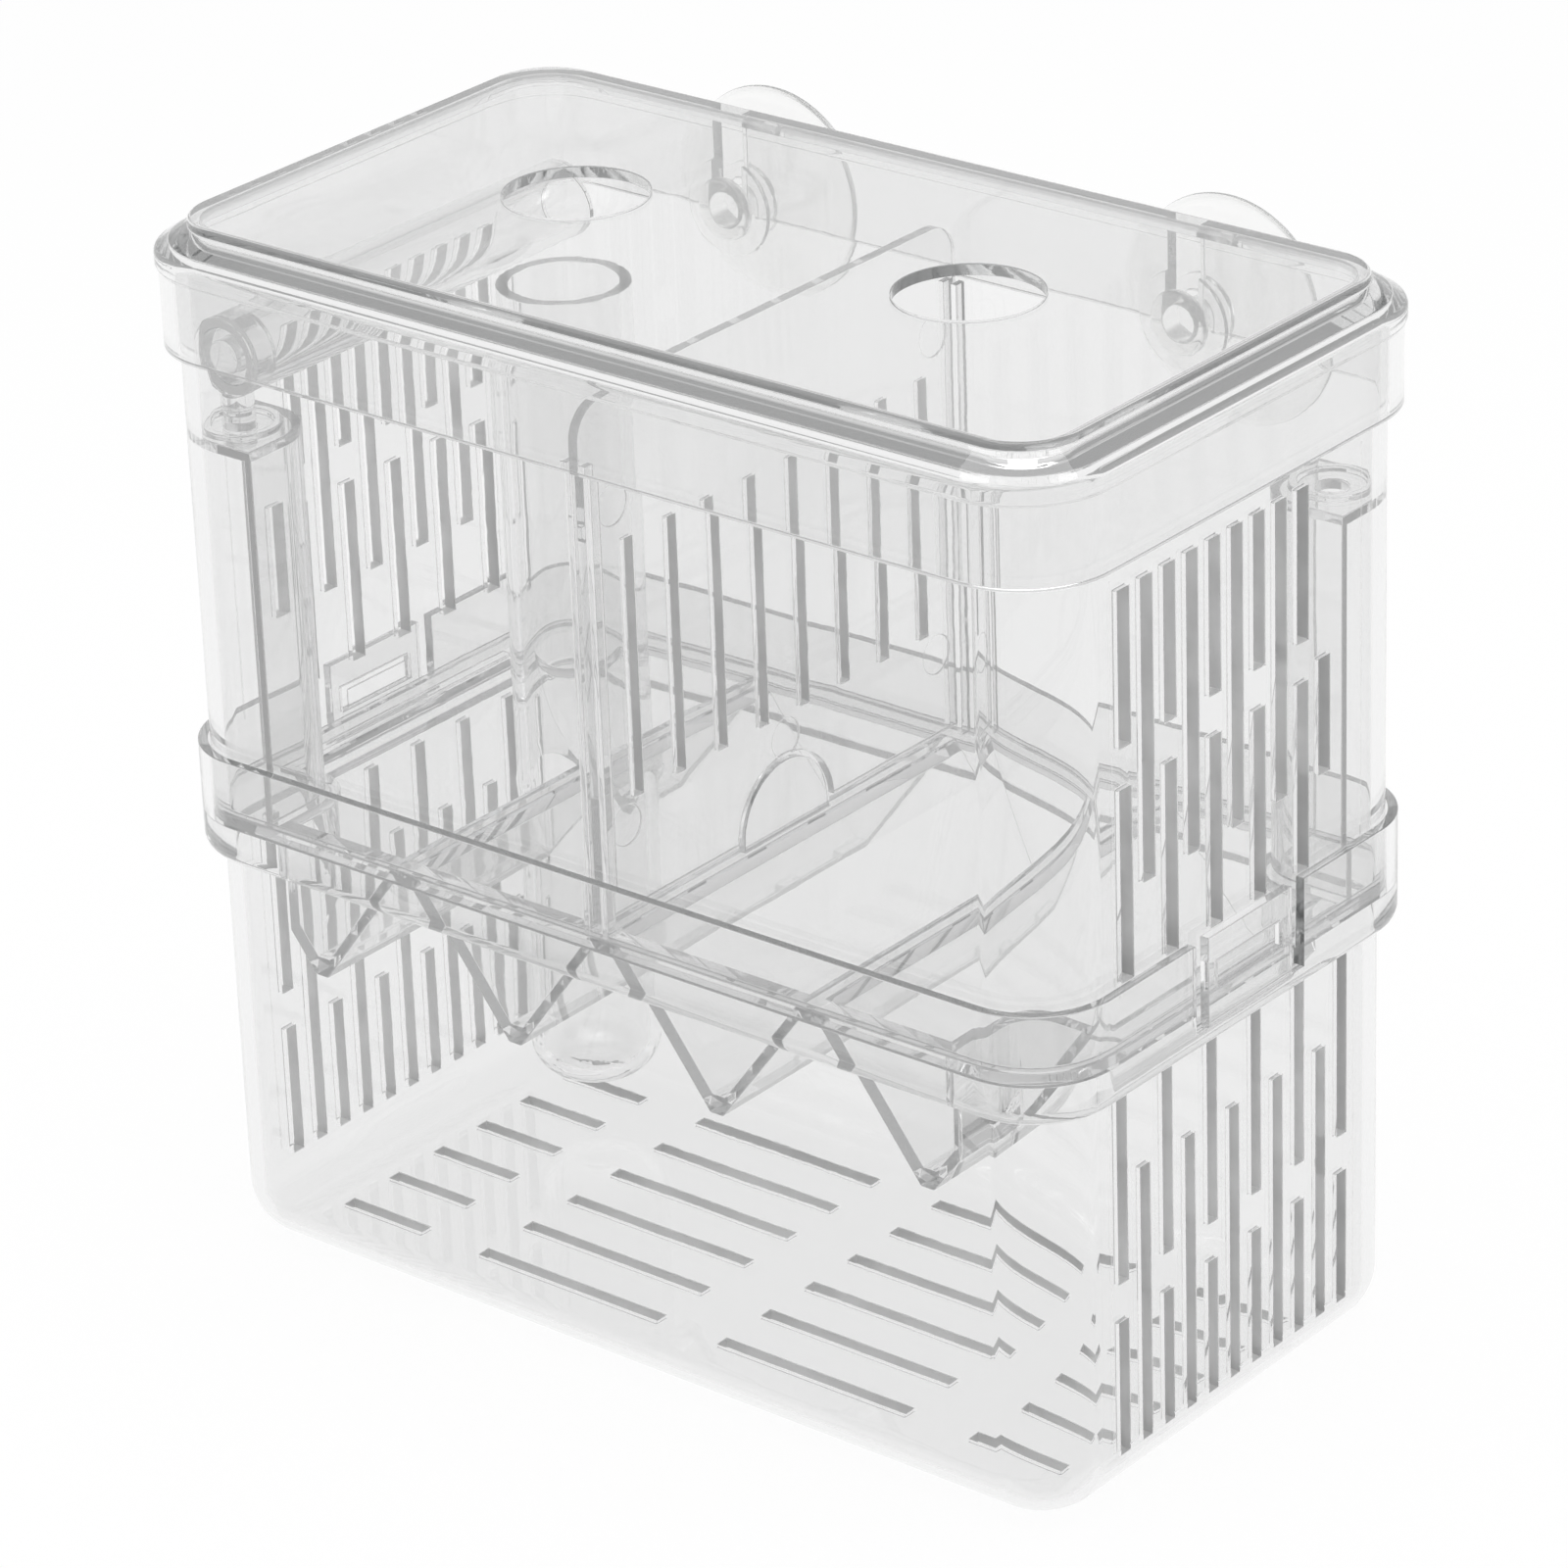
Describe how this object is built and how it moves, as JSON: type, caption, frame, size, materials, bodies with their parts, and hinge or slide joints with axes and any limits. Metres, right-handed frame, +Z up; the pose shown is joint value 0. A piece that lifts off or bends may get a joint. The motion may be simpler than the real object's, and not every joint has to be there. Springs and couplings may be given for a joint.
{
  "type": "fish breeding box",
  "caption": "Clear two-storey breeding box for live-bearing fish, with trough tray, slotted divider, lid and suction cups.",
  "frame": {"origin": "centre of the lower box's flat underside", "axes": "+X along the long side to the right as seen from the front, +Y to the rear wall that carries the suction cups, +Z up"},
  "size_m": [0.2024, 0.1211, 0.2],
  "materials": {
    "clear_case": "clear injection-moulded styrene, polished",
    "clear_tray": "clear injection-moulded styrene, polished",
    "clear_divider": "clear injection-moulded styrene, polished",
    "clear_lid": "clear injection-moulded styrene, polished",
    "clear_vinyl": "soft clear vinyl, slightly milky",
    "clear_tube": "clear extruded acrylic, polished"
  },
  "bodies": {
    "lower": {"lower_box": "clear_case"},
    "latch_left": {"latch_tongue_left": "clear_case"},
    "latch_right": {"latch_tongue_right": "clear_case"},
    "tray": {"trough_tray": "clear_tray"},
    "upper": {"upper_box": "clear_case", "corner_duct_front": "clear_case", "corner_duct_rear": "clear_case"},
    "divider": {"divider": "clear_divider"},
    "lid": {"lid": "clear_lid"},
    "cup_left": {"suction_cup_left": "clear_vinyl"},
    "cup_right": {"suction_cup_right": "clear_vinyl"},
    "tube": {"upright_tube": "clear_tube"},
    "pipe": {"cross_pipe": "clear_tube", "pipe_end_plug": "clear_tube"}
  },
  "joints": [
    {"name": "upper_lift", "type": "slide", "parent": "lower", "child": "upper", "axis": [0, 0, 1], "range_m": [0, 0.12]},
    {"name": "tray_lift", "type": "slide", "parent": "lower", "child": "tray", "axis": [0, 0, 1], "range_m": [0, 0.06]},
    {"name": "lid_lift", "type": "slide", "parent": "upper", "child": "lid", "axis": [0, 0, 1], "range_m": [0, 0.06]},
    {"name": "divider_lift", "type": "slide", "parent": "upper", "child": "divider", "axis": [0, 0, 1], "range_m": [0, 0.048]},
    {"name": "pipe_lift", "type": "slide", "parent": "upper", "child": "pipe", "axis": [0, 0, 1], "range_m": [0, 0.03]},
    {"name": "tube_lift", "type": "slide", "parent": "tray", "child": "tube", "axis": [0, 0, 1], "range_m": [0, 0.018]},
    {"name": "latch_left_bend", "type": "hinge", "parent": "lower", "child": "latch_left", "pos_m": [-0.0991, 0, 0.084], "axis": [0, -1, 0], "range_deg": [0, 5], "stiffness_Nm_per_rad": 0.2},
    {"name": "latch_right_bend", "type": "hinge", "parent": "lower", "child": "latch_right", "pos_m": [0.0991, 0, 0.084], "axis": [0, 1, 0], "range_deg": [0, 5], "stiffness_Nm_per_rad": 0.2},
    {"name": "cup_left_spin", "type": "hinge", "parent": "upper", "child": "cup_left", "pos_m": [-0.0506, 0.05, 0.1785], "axis": [0, 1, 0], "continuous": true},
    {"name": "cup_right_spin", "type": "hinge", "parent": "upper", "child": "cup_right", "pos_m": [0.0506, 0.05, 0.1785], "axis": [0, 1, 0], "continuous": true}
  ],
  "couplings": [
    {"joint": "tray_lift", "follows": "upper_lift", "ratio": 0.5},
    {"joint": "divider_lift", "follows": "lid_lift", "ratio": 0.8},
    {"joint": "pipe_lift", "follows": "lid_lift", "ratio": 0.5},
    {"joint": "tube_lift", "follows": "lid_lift", "ratio": 0.3}
  ]
}
